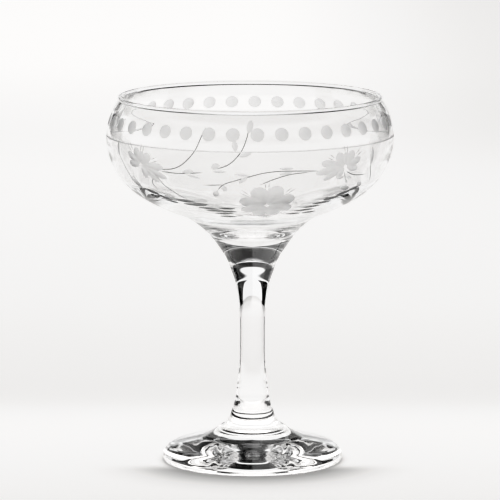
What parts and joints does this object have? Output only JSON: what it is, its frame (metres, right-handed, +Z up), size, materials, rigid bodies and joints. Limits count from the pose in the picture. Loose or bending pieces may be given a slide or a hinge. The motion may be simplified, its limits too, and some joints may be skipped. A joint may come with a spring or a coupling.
{
  "type": "champagne coupe",
  "caption": "Stemmed champagne coupe in clear glass: wide shallow bowl with a ring of cut dots, a cut line and cut flowers, on a slim waisted stem and a round foot.",
  "frame": {"origin": "middle of the foot's underside, on the surface that the glass stands on", "axes": "+Z up along the glass's axis; the side seen from the front faces -Y"},
  "size_m": [0.1, 0.1, 0.1286],
  "materials": {
    "bowl_glass": "clear and polished, with ground matt cuts on the outside",
    "stem_glass": "clear and polished",
    "foot_glass": "clear and polished"
  },
  "bodies": {
    "root": {"bowl": "bowl_glass", "stem": "stem_glass", "foot": "foot_glass"}
  },
  "joints": []
}
